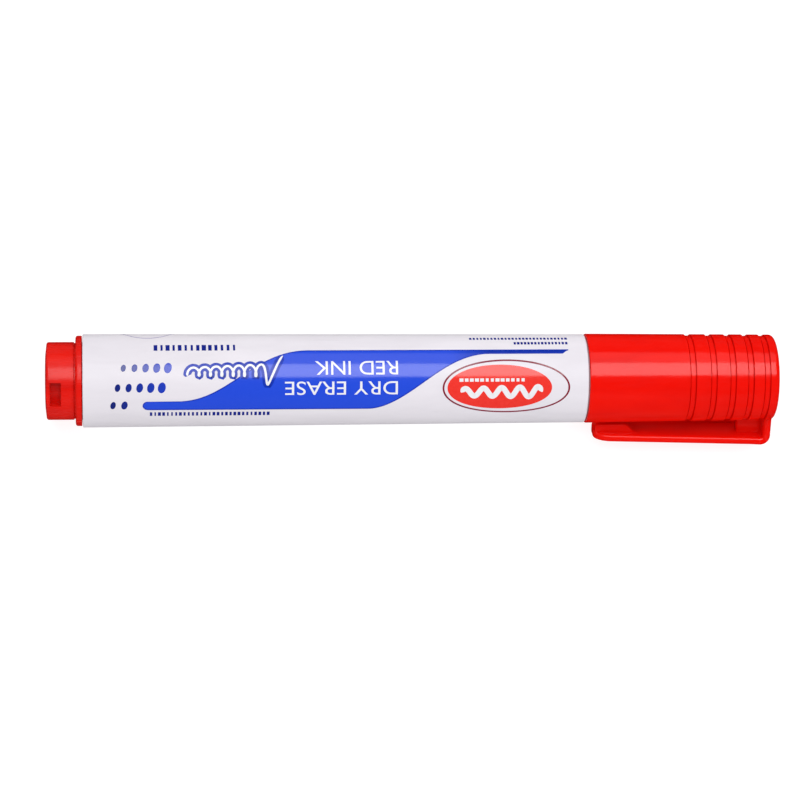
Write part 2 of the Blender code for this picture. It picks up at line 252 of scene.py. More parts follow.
def print_ink(name, colours, roughness=0.14, fade=None, gloss=0.6):
    """Printed ink of slightly uneven cover. fade = (from x, to x) runs the colours along X."""
    material, nodes, links, shader = start_material(name)
    even = object_places(nodes, links)
    cover = noise(nodes, links, even, 1800.0, detail=4.0, roughness=0.6)
    if fade:
        coordinates = nodes.new("ShaderNodeTexCoord")
        parts = nodes.new("ShaderNodeSeparateXYZ")
        links.new(coordinates.outputs["Object"], parts.inputs["Vector"])
        along = spread(nodes, links, parts.outputs["X"], 0.0, 1.0, *fade)
        tint = ramp(nodes, links, along, ((0.0, colours[0]), (1.0, colours[1])))
        paler = tuple(1.25 * c for c in colours[0])
        tint = mix(nodes, links, spread(nodes, links, cover, 0.0, 0.12), tint, paler)
    else:
        tint = ramp(nodes, links, cover, ((0.25, colours[0]), (0.75, colours[1])))
    links.new(tint, shader.inputs["Base Color"])
    gleam = spread(nodes, links, cover, roughness - 0.03, roughness + 0.05)
    links.new(gleam, shader.inputs["Roughness"])
    shader.inputs["Specular IOR Level"].default_value = gloss
    bumps(nodes, links, shader, ((cover, 0.06, 0.000006),))
    return material


def soaked_fibre(name, dark, light, scale):
    """Fibres that run along the marker, soaked with ink."""
    material, nodes, links, shader = start_material(name, 0.9)
    along = object_places(nodes, links, (0.06, 1.0, 1.0))
    strands = noise(nodes, links, along, scale, detail=6.0, roughness=0.7, distortion=0.3)
    even = object_places(nodes, links)
    wet = noise(nodes, links, even, scale * 0.1, detail=3.0, roughness=0.5)
    tint = ramp(nodes, links, strands, ((0.30, dark), (0.70, light)))
    links.new(tint, shader.inputs["Base Color"])
    links.new(spread(nodes, links, wet, 0.55, 0.95), shader.inputs["Roughness"])
    bumps(nodes, links, shader, ((strands, 0.8, 0.00008),))
    return material


def clear_film(name):
    """Thin wrapped film with lengthwise creases, and painted shade that darkens its crease valleys.
    """
    material, nodes, links, shader = start_material(name)
    along = object_places(nodes, links, (0.1, 1.0, 1.0))
    creases = noise(nodes, links, along, 900.0, detail=4.0, roughness=0.6, distortion=1.2)
    # The darker colour in the crease valleys is painted shade, not a colour of the film.
    painted_crease_shade, plain = (0.62, 0.30, 0.32), (0.86, 0.66, 0.66)
    tint = ramp(nodes, links, creases, ((0.3, painted_crease_shade), (0.7, plain)))
    links.new(tint, shader.inputs["Base Color"])
    links.new(spread(nodes, links, creases, 0.12, 0.3), shader.inputs["Roughness"])
    bumps(nodes, links, shader, ((creases, 0.5, 0.00006),))
    shader.inputs["Transmission Weight"].default_value = 0.35
    return material


def table_top(name):
    """A white table that also glows, like a light box, so that shadows on it stay faint."""
    material, nodes, links, shader = start_material(name, 0.75)
    even = object_places(nodes, links)
    cloud = noise(nodes, links, even, 6.0, detail=3.0, roughness=0.5)
    tint = ramp(nodes, links, cloud, ((0.3, (0.36,) * 3), (0.7, (0.39,) * 3)))
    links.new(tint, shader.inputs["Base Color"])
    shader.inputs["Emission Color"].default_value = (1.0, 1.0, 1.0, 1.0)
    shader.inputs["Emission Strength"].default_value = 0.78
    grain = noise(nodes, links, even, 900.0, detail=3.0, roughness=0.5)
    bumps(nodes, links, shader, ((grain, 0.05, 0.0001),))
    return material


# ------------------------ mesh helpers


def shaded(mesh, angle=30.0):
    """Smooth shading, with edges sharper than this angle kept crisp."""
    mesh.shade_smooth()
    mesh.set_sharp_from_angle(angle=math.radians(angle))


def plain_object(name, bm, material=None):
    """A linked object with the bmesh's shape, at the origin."""
    mesh = bpy.data.meshes.new(name)
    bm.to_mesh(mesh)
    bm.free()
    shaded(mesh)
    obj = bpy.data.objects.new(name, mesh)
    bpy.context.scene.collection.objects.link(obj)
    if material:
        mesh.materials.append(material)
    return obj


def baked(obj, material=None):
    """The object's evaluated shape as a plain mesh object of the same name, its modifiers gone."""
    bpy.context.view_layer.update()
    graph = bpy.context.evaluated_depsgraph_get()
    mesh = bpy.data.meshes.new_from_object(obj.evaluated_get(graph))
    mesh.transform(obj.matrix_world)
    name = obj.name
    bpy.data.objects.remove(obj, do_unlink=True)
    result = bpy.data.objects.new(name, mesh)
    bpy.context.scene.collection.objects.link(result)
    if material:
        mesh.materials.clear()
        mesh.materials.append(material)
    return result


def softened(outline, closed=False):
    """Rounds an outline's corners. Each point is (x, r) or (x, r, fillet radius)."""
    result = []
    count = len(outline)
    for index, entry in enumerate(outline):
        here = Vector(entry[:2])
        fillet = entry[2] if len(entry) > 2 else 0.0
        if not fillet or (not closed and index in (0, count - 1)):
            result.append(tuple(here))
            continue
        before = Vector(outline[index - 1][:2]) - here
        after = Vector(outline[(index + 1) % count][:2]) - here
        angle = before.angle(after)
        cut = min(fillet / math.tan(angle / 2), before.length * 0.49, after.length * 0.49)
        radius = cut * math.tan(angle / 2)
        middle = here + (before.normalized() + after.normalized()).normalized() * (
            radius / math.sin(angle / 2)
        )
        start = here + before.normalized() * cut - middle
        end = here + after.normalized() * cut - middle
        turn = start.angle_signed(end)
        steps = 5
        for step in range(steps + 1):
            spun = start.copy()
            spun.rotate(Matrix.Rotation(-turn * step / steps, 2))
            result.append(tuple(middle + spun))
    return result


def turned(name, outline, material, steps=FULL_TURN):
    """Turns an outline of (x, r[, fillet]) points about the marker's axis."""
    on_axis = outline[0][1] == 0.0 and outline[-1][1] == 0.0
    points = softened(outline, closed=not on_axis)
    bm = bmesh.new()
    ring = [bm.verts.new((x, 0.0, -radius)) for x, radius in points]
    pairs = list(zip(ring, ring[1:]))
    if not on_axis:
        pairs.append((ring[-1], ring[0]))
    edges = [bm.edges.new(pair) for pair in pairs]
    bmesh.ops.spin(
        bm,
        geom=ring + edges,
        cent=(0.0, 0.0, 0.0),
        axis=(1.0, 0.0, 0.0),
        angle=math.tau,
        steps=steps,
    )
    bmesh.ops.remove_doubles(bm, verts=bm.verts[:], dist=1e-7)
    bmesh.ops.recalc_face_normals(bm, faces=bm.faces[:])
    bmesh.ops.transform(bm, matrix=ON_AXIS, verts=bm.verts[:])
    return plain_object(name, bm, material)


def arc(centre_x, centre_y, radius_x, radius_y, start, end, steps):
    """Points on an ellipse from one angle to another, in degrees, both ends included."""
    points = []
    for step in range(steps + 1):
        a = math.radians(start + (end - start) * step / steps)
        points.append((centre_x + radius_x * math.cos(a), centre_y + radius_y * math.sin(a)))
    return points


def bezier(points, steps):
    """Points along a cubic curve with two end points and two handles."""
    first, second, third, last = (Vector(p) for p in points)
    result = []
    for step in range(steps + 1):
        t = step / steps
        s = 1.0 - t
        place = first * s**3 + second * 3 * s * s * t + third * 3 * s * t * t + last * t**3
        result.append(tuple(place))
    return result


def slab(name, outline, width):
    """A flat outline extruded to this width along Z, centred."""
    bm = bmesh.new()
    face = bm.faces.new([bm.verts.new((x, y, -width / 2)) for x, y in outline])
    swept = bmesh.ops.extrude_face_region(bm, geom=[face])
    moved = [item for item in swept["geom"] if isinstance(item, bmesh.types.BMVert)]
    bmesh.ops.translate(bm, verts=moved, vec=(0.0, 0.0, width))
    bmesh.ops.recalc_face_normals(bm, faces=bm.faces[:])
    return plain_object(name, bm)


# ------------------------ moulded pieces


def cap_radius(x):
    """The cap's tapered outside."""
    share = (x - CAP_MOUTH) / (CAP_END - CAP_MOUTH)
    return CAP_MOUTH_RADIUS + share * (CAP_END_RADIUS - CAP_MOUTH_RADIUS)


def make_barrel(material):
    """The barrel with its rounded rear mouth, its shoulder, and the neck with the snap bead."""
    mouth_bore, bore, neck_bore = 7.7 * MM, 7.4 * MM, 6.0 * MM
    bore_end, neck_bore_start = 33.5 * MM, 34.7 * MM
    bead, bead_radius, bead_top, bead_foot = 37.5 * MM, 7.2 * MM, 0.4 * MM, 0.9 * MM
    outline = [
        (BARREL_REAR, mouth_bore, 0.12 * MM),
        (BARREL_REAR, BARREL_REAR_RADIUS, 0.18 * MM),
        (SHOULDER, BARREL_FRONT_RADIUS, 0.12 * MM),
        (SHOULDER, NECK_RADIUS, 0.10 * MM),
        (bead - bead_foot, NECK_RADIUS, 0.2 * MM),
        (bead - bead_top, bead_radius, 0.2 * MM),
        (bead + bead_top, bead_radius, 0.2 * MM),
        (bead + bead_foot, NECK_RADIUS, 0.2 * MM),
        (NECK_END, NECK_RADIUS, 0.25 * MM),
        (NECK_END, neck_bore, 0.12 * MM),
        (neck_bore_start, neck_bore, 0.3 * MM),
        (bore_end, bore, 0.3 * MM),
    ]
    barrel = turned("barrel_body", outline, material)
    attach(barrel, "barrel")
    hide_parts("barrel")


def gate_mark(end, inward):
    """The small sunk mark in the middle of a moulding's end, where its plastic came in."""
    floor = end + inward * 0.15 * MM
    floor_radius, rim_radius, fillet = 0.9 * MM, 1.1 * MM, 0.05 * MM
    return [(floor, 0.0), (floor, floor_radius, fillet), (end, rim_radius, fillet)]


def make_plug(material):
    """The rear plug: its stub, flange and skirt, and the pry notch with its low bar."""
    undercut = STUB_RADIUS - 0.2 * MM
    skirt, skirt_tip, hollow = 7.4 * MM, 6.9 * MM, 6.0 * MM
    hollow_floor, taper_start, skirt_end = -66.4 * MM, -54.5 * MM, PLUG_HIGH[0]
    outline = gate_mark(PLUG_END, 1) + [
        (PLUG_END, 5.2 * MM, 2.0 * MM),
        (PLUG_END + 0.25 * MM, STUB_RADIUS, 0.45 * MM),
        (FLANGE_START - 0.30 * MM, STUB_RADIUS, 0.06 * MM),
        (FLANGE_START - 0.24 * MM, undercut, 0.05 * MM),
        (FLANGE_START, undercut, 0.05 * MM),
        (FLANGE_START, FLANGE_RADIUS, 0.45 * MM),
        (FLANGE_END, FLANGE_RADIUS, 0.12 * MM),
        (FLANGE_END, skirt, 0.05 * MM),
        (taper_start, skirt, 0.2 * MM),
        (skirt_end, skirt_tip, 0.1 * MM),
        (skirt_end, hollow, 0.1 * MM),
        (hollow_floor, hollow, 0.4 * MM),
        (hollow_floor, 0.0),
    ]
    plug = turned("plug_body", outline, material)
    bar, length, width, margin = 0.9 * MM, 3.0 * MM, 4.8 * MM, 1.0 * MM
    bar_top = STUB_RADIUS - 0.4 * MM
    floor = STUB_RADIUS - 2.6 * MM
    side = [
        (PLUG_END - margin, bar_top),
        (PLUG_END + bar, bar_top),
        (PLUG_END + bar, floor),
        (PLUG_END + length, floor),
        (PLUG_END + length, STUB_RADIUS + margin),
        (PLUG_END - margin, STUB_RADIUS + margin),
    ]
    cutter = slab("notch_cutter", side, width)
    lean = Matrix.Rotation(math.radians(22.5), 4, "X")
    upright = Matrix.Rotation(math.pi / 2, 4, "X")
    cutter.data.transform(ON_AXIS @ lean @ upright)
    cut = plug.modifiers.new("pry_notch", "BOOLEAN")
    cut.operation = "DIFFERENCE"
    cut.object = cutter
    plug = baked(plug, material)
    bpy.data.objects.remove(cutter, do_unlink=True)
    shaded(plug.data)
    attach(plug, "plug")
    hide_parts("rear_plug")


def groove(x):
    """One grip groove, with a narrow, deeper channel along each side."""
    half = 0.62 * MM
    channel = 0.19 * MM
    slope = 0.02 * MM
    edge = 0.045 * MM
    skin = cap_radius(x)
    floor = skin - 0.26 * MM
    deep = skin - 0.62 * MM
    rear = [
        (x - half, cap_radius(x - half), edge),
        (x - half + slope, deep, 0.03 * MM),
        (x - half + channel - slope, deep, 0.03 * MM),
        (x - half + channel, floor, 0.04 * MM),
    ]
    front = [(2 * x - place, radius, fillet) for place, radius, fillet in reversed(rear)]
    return rear + front[:-1] + [(x + half, cap_radius(x + half), edge)]


def groove_places():
    """The middles of the five grooves, which draw closer together towards the cap's end."""
    x, pitch, closer = 53.2 * MM, 4.0 * MM, 0.931
    for _ in range(5):
        yield x
        x += pitch
        pitch *= closer


def make_cap(material):
    """The cap, hollow, with its grip grooves and a gate mark in its closed end."""
    hollow_end, end_bore, mouth_bore = 68.6 * MM, 6.9 * MM, 7.5 * MM
    outline = [
        (hollow_end, 0.0),
        (hollow_end, end_bore, 0.4 * MM),
        (CAP_MOUTH, mouth_bore, 0.15 * MM),
        (CAP_MOUTH, CAP_MOUTH_RADIUS, 0.22 * MM),
    ]
    for x in groove_places():
        outline += groove(x)
    outline.append((CAP_END, CAP_END_RADIUS, 0.9 * MM))
    outline += reversed(gate_mark(CAP_END, -1))
    cap = turned("cap_body", outline, material)
    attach(cap, "cap")
    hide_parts("cap_shell")


def clip_outer(x):
    """The strap's outer face, which leans towards the cap at its tip."""
    share = (x - CLIP_TIP) / (CLIP_END - CLIP_TIP)
    return CLIP_TIP_RADIUS + share * (CLIP_ROOT_RADIUS - CLIP_TIP_RADIUS)


def strap_path():
    """The middle of the strap's thickness: from its tip, round the corner and down to the cap."""
    half = CLIP_THICKNESS / 2
    tip_steps, run_steps, corner_steps = 12, 14, 10
    path = []
    for step in range(tip_steps + 1):
        x = CLIP_TIP + TIP_RUN * (1 - math.cos(math.radians(90 * step / tip_steps)))
        path.append((x, clip_outer(x) - half))
    corner = CLIP_END - CLIP_CORNER
    for step in range(1, run_steps):
        x = CLIP_TIP + TIP_RUN + (corner - CLIP_TIP - TIP_RUN) * step / run_steps
        path.append((x, clip_outer(x) - half))
    bend = CLIP_CORNER - half
    height = clip_outer(CLIP_END) - CLIP_CORNER
    path += reversed(arc(corner, height, bend, bend, 0, 90, corner_steps))
    foot = 7.3 * MM
    path.append((CLIP_END - half, foot))
    return path


def strap_tree():
    """Sweeps a soft-edged flat section along a path, and rounds its tip as seen from outside."""
    names = ("Width", "Thickness", "Edge", "Tip Place", "Tip Run", "Tip Flat")
    t = Tree("swept_strap", names, takes_geometry=True)
    upright = t.out("GeometryNodeSetCurveNormal", {"mode": "Z_UP"}, i0=t.take("Geometry"))
    section = t.out(
        "GeometryNodeCurvePrimitiveQuadrilateral",
        Width=t.take("Thickness"),
        Height=t.take("Width"),
    )
    soft = t.out(
        "GeometryNodeFilletCurve",
        {"mode": "POLY"},
        i0=section,
        Count=5,
        Radius=t.take("Edge"),
    )
    swept = t.node("GeometryNodeCurveToMesh", Curve=upright, Profile_Curve=soft)
    swept.inputs["Fill Caps"].default_value = True
    place = t.node("ShaderNodeSeparateXYZ", i0=t.out("GeometryNodeInputPosition"))
    share = t.out(
        "ShaderNodeMapRange",
        i0=place.outputs["X"],
        i1=t.take("Tip Place"),
        i2=t.calc("ADD", t.take("Tip Place"), t.take("Tip Run")),
        i3=1.0,
        i4=0.0,
    )
    rise = t.calc("SQRT", t.calc("SUBTRACT", 1.0, t.calc("MULTIPLY", share, share)))
    flat = t.calc("DIVIDE", t.take("Tip Flat"), t.take("Width"))
    narrow = t.calc("MULTIPLY_ADD", rise, t.calc("SUBTRACT", 1.0, flat), flat)
    across = t.calc("MULTIPLY", place.outputs["Z"], narrow)
    point = t.vector(place.outputs["X"], place.outputs["Y"], across)
    return t.end(t.out("GeometryNodeSetPosition", Geometry=swept.outputs[0], Position=point))


def joined(piece, addition):
    """The piece with the addition united into it."""
    join = piece.modifiers.new("joined", "BOOLEAN")
    join.operation = "UNION"
    join.object = addition
    result = baked(piece)
    bpy.data.objects.remove(addition, do_unlink=True)
    return result


def softened_slab(name, side, width, edge, material, aside=0.0):
    """A slab in the clip's frame with rounded edges. aside moves it to the strap's lower edge."""
    block = slab(name, side, width)
    block.data.transform(AT_CLIP @ Matrix.Translation((0.0, 0.0, aside)))
    soften = block.modifiers.new("moulded_edges", "BEVEL")
    soften.width = edge
    soften.segments = 3
    soften.limit_method = "ANGLE"
    soften.angle_limit = math.radians(25)
    return baked(block, material)


def swept_strap(material):
    """The bare strap, swept along its path."""
    path = bpy.data.curves.new("clip_strap", "CURVE")
    path.dimensions = "3D"
    spline = path.splines.new("POLY")
    points = strap_path()
    spline.points.add(len(points) - 1)
    for point, (x, y) in zip(spline.points, points):
        point.co = (x, y, 0.0, 1.0)
    strap = bpy.data.objects.new("clip_strap", path)
    bpy.context.scene.collection.objects.link(strap)
    sweep = strap.modifiers.new("sweep", "NODES")
    sweep.node_group = strap_tree()
    sizes = {
        "Width": CLIP_WIDTH,
        "Thickness": CLIP_THICKNESS,
        "Edge": 0.62 * MM,
        "Tip Place": CLIP_TIP,
        "Tip Run": TIP_RUN,
        "Tip Flat": TIP_FLAT,
        "Ink": material,
    }
    set_inputs(sweep, sizes)
    strap = baked(strap, material)
    strap.data.transform(AT_CLIP)
    return strap


def pocket_bump(material):
    """The bump under the strap's tip, steep towards the tip and falling in a curve behind."""
    floor = cap_radius(BUMP_START) + 0.3 * MM
    under = clip_outer(BUMP_START) - CLIP_THICKNESS
    end = clip_outer(BUMP_END) - CLIP_THICKNESS
    sunk = 0.5 * MM
    corner = 0.6 * MM
    ease = 1.4 * MM
    fall = (
        (BUMP_SLOPE, floor),
        (BUMP_SLOPE + ease, floor),
        (BUMP_END - ease, end),
        (BUMP_END, end),
    )
    side = [(BUMP_START, under + sunk)]
    side += arc(BUMP_START + corner, floor + corner, corner, corner, 180, 270, 6)
    side += bezier(fall, 10)
    side += [(BUMP_END, end + sunk)]
    return softened_slab("clip_bump", side, BUMP_WIDTH, 0.3 * MM, material)


def strap_rim(material):
    """The thin rim along the strap's lower inner edge."""
    start = CLIP_TIP + TIP_RUN
    end = WEB_START + 2.0 * MM
    low, high = -0.95, 0.5
    side = []
    for x, rise in ((start, low), (end, low), (end, high), (start, high)):
        side.append((x, clip_outer(x) - CLIP_THICKNESS + rise * MM))
    aside = CLIP_WIDTH / 2 - 0.38 * MM
    return softened_slab("clip_rim", side, 0.7 * MM, 0.18 * MM, material, aside)


def make_clip(material):
    """The strap with its bump and rim, in one."""
    strap = swept_strap(material)
    strap = joined(strap, pocket_bump(material))
    strap = joined(strap, strap_rim(material))
    shaded(strap.data, 40)
    hinge = Vector(JOINTS["clip_flex"]["pos_m"])
    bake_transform(strap)
    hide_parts("pocket_clip")


def make_web(material):
    """The web that fills the corner between the strap, the end wall and the cap."""
    sunk = 0.5 * MM
    wall = CLIP_END - CLIP_THICKNESS + sunk
    foot = 8.0 * MM
    top = clip_outer(WEB_START) - CLIP_THICKNESS + sunk
    side = [(WEB_START, foot), (wall, foot), (wall, top), (WEB_START, top)]
    web = softened_slab("clip_web", side, 2.2 * MM, 0.25 * MM, material)
    shaded(web.data, 40)
    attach(web, "cap")


def make_nose(material):
    """The nose section that carries the nib, stepped down to the nib tube."""
    start, end = NOSE_LOW[0], NOSE_HIGH[0]
    bore, tail = 2.8 * MM, 5.7 * MM
    collar_start, collar_end, cone_end = 44.3 * MM, 45.6 * MM, 52.0 * MM
    outline = [
        (start, bore, 0.1 * MM),
        (start, tail, 0.3 * MM),
        (collar_start, tail, 0.1 * MM),
        (collar_start, 7.0 * MM, 0.2 * MM),
        (collar_end, 7.0 * MM, 0.25 * MM),
        (collar_end, 6.4 * MM, 0.15 * MM),
        (cone_end, 4.0 * MM, 0.3 * MM),
        (cone_end, 3.6 * MM, 0.15 * MM),
        (end, 3.3 * MM, 0.25 * MM),
        (end, bore, 0.1 * MM),
    ]
    nose = turned("nose_body", outline, material, steps=128)
    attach(nose, "barrel")
    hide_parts("nose_section")


def make_nib(material):
    """The bullet nib: a fibre rod with a rounded point, slightly flattened by use."""
    start, end = NIB_LOW[0], NIB_HIGH[0]
    radius = 2.5 * MM
    length = 2.8 * MM
    dome = arc(end - length, 0.0, length, radius, 90, 8, 14)
    outline = [(start, 0.0), (start, radius, 0.2 * MM)] + dome + [(end, 0.0)]
    nib = turned("nib_body", outline, material, steps=96)
    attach(nib, "barrel")
    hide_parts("nib")


def finish_inner_pieces(fibre, film, milky):
    """The reservoir, its film and the cap's inner seal keep their shapes and get their finishes."""
    finishes = (("ink_reservoir", fibre), ("reservoir_sleeve", film), ("inner_seal", milky))
    for node, material in finishes:
        mesh = frame["nodes"][node].data
        mesh.materials.clear()
        mesh.materials.append(material)


# ------------------------ Geometry Nodes


class Tree:
    """A Geometry Nodes tree in the making. It ends in Realize Instances and Set Material."""

    def __init__(self, name, numbers=(), counts=(), takes_geometry=False):
        self.tree = bpy.data.node_groups.new(name, "GeometryNodeTree")
        face = self.tree.interface
        if takes_geometry:
            face.new_socket("Geometry", in_out="INPUT", socket_type="NodeSocketGeometry")
        for label in numbers:
            face.new_socket(label, in_out="INPUT", socket_type="NodeSocketFloat")
        for label in counts:
            face.new_socket(label, in_out="INPUT", socket_type="NodeSocketInt")
        face.new_socket("Ink", in_out="INPUT", socket_type="NodeSocketMaterial")
        face.new_socket("Geometry", in_out="OUTPUT", socket_type="NodeSocketGeometry")
        self.given = self.tree.nodes.new("NodeGroupInput")

    def node(self, kind, settings=None, **links):
        """Adds a node. Each link is input name or index = a socket or a plain value."""
        made = self.tree.nodes.new(kind)
        for key, value in (settings or {}).items():
            setattr(made, key, value)
        for key, value in links.items():
            by_index = key[0] == "i" and key[1:].isdigit()
            socket = made.inputs[int(key[1:]) if by_index else key.replace("_", " ")]
            if isinstance(value, bpy.types.NodeSocket):
                self.tree.links.new(value, socket)
            else:
                socket.default_value = value
        return made

    def out(self, kind, settings=None, **links):
        """Adds a node and gives its first output."""
        return self.node(kind, settings, **links).outputs[0]

    def calc(self, operation, first, second=0.0, third=0.0):
        """The result of a Math node."""
        settings = {"operation": operation}
        return self.out("ShaderNodeMath", settings, i0=first, i1=second, i2=third)

    def vector(self, x=0.0, y=0.0, z=0.0):
        return self.out("ShaderNodeCombineXYZ", i0=x, i1=y, i2=z)

    def take(self, label):
        return self.given.outputs[label]

    def row_points(self):
        """As many points as Count, in a line from Start and Around, each a Pitch further on."""
        return self.out(
            "GeometryNodeMeshLine",
            {"mode": "OFFSET"},
            Count=self.take("Count"),
            Start_Location=self.vector(self.take("Start"), self.take("Around")),
            Offset=self.vector(self.take("Pitch")),
        )

    def end(self, geometry):
        """The finished tree, which gives out this geometry."""
        real = self.out("GeometryNodeRealizeInstances", i0=geometry)
        inked = self.out("GeometryNodeSetMaterial", Geometry=real, Material=self.take("Ink"))
        out = self.tree.nodes.new("NodeGroupOutput")
        self.tree.links.new(inked, out.inputs[0])
        return self.tree


def wrap_tree():
    """Wraps a flat print on the barrel: Y becomes the way round and Z the height over it."""
    names = ("Rear Place", "Front Place", "Rear Radius", "Front Radius", "Axis Y", "Axis Z", "Lift")
    t = Tree("wrap_on_barrel", names, takes_geometry=True)
    place = t.node("ShaderNodeSeparateXYZ", i0=t.out("GeometryNodeInputPosition"))
    radius = t.out(
        "ShaderNodeMapRange",
        {"clamp": False},
        i0=place.outputs["X"],
        i1=t.take("Rear Place"),
        i2=t.take("Front Place"),
        i3=t.take("Rear Radius"),
        i4=t.take("Front Radius"),
    )
    turn = t.calc("DIVIDE", place.outputs["Y"], radius)
    height = t.calc("ADD", t.calc("ADD", radius, place.outputs["Z"]), t.take("Lift"))
    y = t.calc("MULTIPLY_ADD", t.calc("SINE", turn), height, t.take("Axis Y"))
    z = t.calc("MULTIPLY_ADD", t.calc("COSINE", turn), height, t.take("Axis Z"))
    bent = t.vector(place.outputs["X"], y, z)
    return t.end(t.out("GeometryNodeSetPosition", Geometry=t.take("Geometry"), Position=bent))


def dot_row_tree():
    """A row of leaning oval dots that grow along the row."""
    t = Tree("dot_row", DOT_SIZES + ("Slant",), ("Count",))
    index = t.out("GeometryNodeInputIndex")
    share = t.calc("DIVIDE", index, t.calc("SUBTRACT", t.take("Count"), 1.0))

    def growing(first, last):
        growth = t.calc("SUBTRACT", t.take(last), t.take(first))
        return t.calc("MULTIPLY_ADD", share, growth, t.take(first))

    width = growing("First Width", "Last Width")
    height = growing("First Height", "Last Height")
    lean = t.vector(z=t.take("Slant"))
    disc = t.out("GeometryNodeMeshCircle", {"fill_type": "TRIANGLE_FAN"}, Vertices=28, Radius=0.5)
    dots = t.out(
        "GeometryNodeInstanceOnPoints",
        Points=t.row_points(),
        Instance=t.out("GeometryNodeSubdivideMesh", Mesh=disc, Level=2),
        Rotation=t.out("FunctionNodeEulerToRotation", i0=lean),
        Scale=t.vector(width, height, 1.0),
    )
    return t.end(dots)


def bar_row_tree():
    """A row of small bars of uneven length, where fine print would stand."""
    t = Tree("bar_row", BAR_SIZES, ("Count", "Seed"))
    length = t.node("FunctionNodeRandomValue", {"data_type": "FLOAT"})
    sockets = {s.name: s for s in length.inputs if s.enabled and s.type in ("VALUE", "INT")}
    for label, name in (("Shortest", "Min"), ("Longest", "Max"), ("Seed", "Seed")):
        t.tree.links.new(t.take(label), sockets[name])
    chosen = next(s for s in length.outputs if s.enabled)
    bars = t.out(
        "GeometryNodeInstanceOnPoints",
        Points=t.row_points(),
        Instance=t.out("GeometryNodeMeshGrid", Size_X=1.0, Size_Y=1.0, Vertices_X=3, Vertices_Y=5),
        Scale=t.vector(chosen, t.take("Height"), 1.0),
    )
    return t.end(bars)


def set_inputs(modifier, values):
    """Sets a Geometry Nodes modifier's inputs, given by their names."""
    for item in modifier.node_group.interface.items_tree:
        if item.in_out == "INPUT" and item.name in values:
            modifier[item.identifier] = values[item.name]


# ------------------------ print on the barrel


def cut_in_strips(bm):
    """Cuts a flat print along the marker, so that it can bend round the barrel."""
    lowest = min(v.co.y for v in bm.verts)
    highest = max(v.co.y for v in bm.verts)
    line = math.floor(lowest / PRINT_STEP) * PRINT_STEP
    while line < highest:
        bmesh.ops.bisect_plane(
            bm,
            geom=bm.verts[:] + bm.edges[:] + bm.faces[:],
            dist=1e-8,
            plane_co=(0.0, line, 0.0),
            plane_no=(0.0, 1.0, 0.0),
        )
        line += PRINT_STEP


def flat_print(name, outline):
    """A filled flat outline."""
    bm = bmesh.new()
    bm.faces.new([bm.verts.new((x, y, 0.0)) for x, y in outline])
    return flat_object(name, bm)


def flat_object(name, bm):
    """The flat shape in triangles, cut in strips, as a mesh object."""
    bmesh.ops.triangulate(bm, faces=bm.faces[:])
    cut_in_strips(bm)
    bmesh.ops.remove_doubles(bm, verts=bm.verts[:], dist=1e-7)
    return plain_object(name, bm)


def flat_ring(name, centre, outer, inner, steps=120):
    """A flat oval ring. outer and inner are its half length and half width."""
    bm = bmesh.new()
    rings = []
    for radii in (outer, inner):
        points = arc(*centre, *radii, 0, 360, steps)[:-1]
        rings.append([bm.verts.new((x, y, 0.0)) for x, y in points])
    for i in range(steps):
        j = (i + 1) % steps
        bm.faces.new((rings[0][i], rings[0][j], rings[1][j], rings[1][i]))
    return flat_object(name, bm)


def flat_words(name, words, place, height, width):
    """Plain capitals, upside down when the cap points right. place is where they begin."""
    data = bpy.data.curves.new(name, "FONT")
    data.body = words
    data.size = 1.0
    data.resolution_u = 6
    text = bpy.data.objects.new(name, data)
    bpy.context.scene.collection.objects.link(text)
    bpy.context.view_layer.update()
    graph = bpy.context.evaluated_depsgraph_get()
    mesh = bpy.data.meshes.new_from_object(text.evaluated_get(graph))
    bpy.data.objects.remove(text, do_unlink=True)
    bm = bmesh.new()
    bm.from_mesh(mesh)
    low = Vector(min(v.co[i] for v in bm.verts) for i in range(3))
    high = Vector(max(v.co[i] for v in bm.verts) for i in range(3))
    size = high - low
    for vert in bm.verts:
        share = ((vert.co.x - low.x) / size.x, (vert.co.y - low.y) / size.y)
        vert.co = (place[0] - share[0] * width, place[1] - share[1] * height, 0.0)
    return flat_object(name, bm)


def stroke(name, centre_line, width):
    """A flat pen stroke of even width along a line of points, with round ends."""
    bm = bmesh.new()
    count = len(centre_line)
    end_steps, end_width = 3.0, 0.15
    left, right = [], []
    for i, (x, y) in enumerate(centre_line):
        before = Vector(centre_line[max(i - 1, 0)])
        after = Vector(centre_line[min(i + 1, count - 1)])
        along = (after - before).normalized()
        across = Vector((-along.y, along.x)) * width / 2
        share = min(i / end_steps, (count - 1 - i) / end_steps, 1.0)
        across *= math.sin(share * math.pi / 2) * (1.0 - end_width) + end_width
        left.append(bm.verts.new((x + across.x, y + across.y, 0.0)))
        right.append(bm.verts.new((x - across.x, y - across.y, 0.0)))
    for i in range(count - 1):
        bm.faces.new((left[i], left[i + 1], right[i + 1], right[i]))
    return flat_object(name, bm)


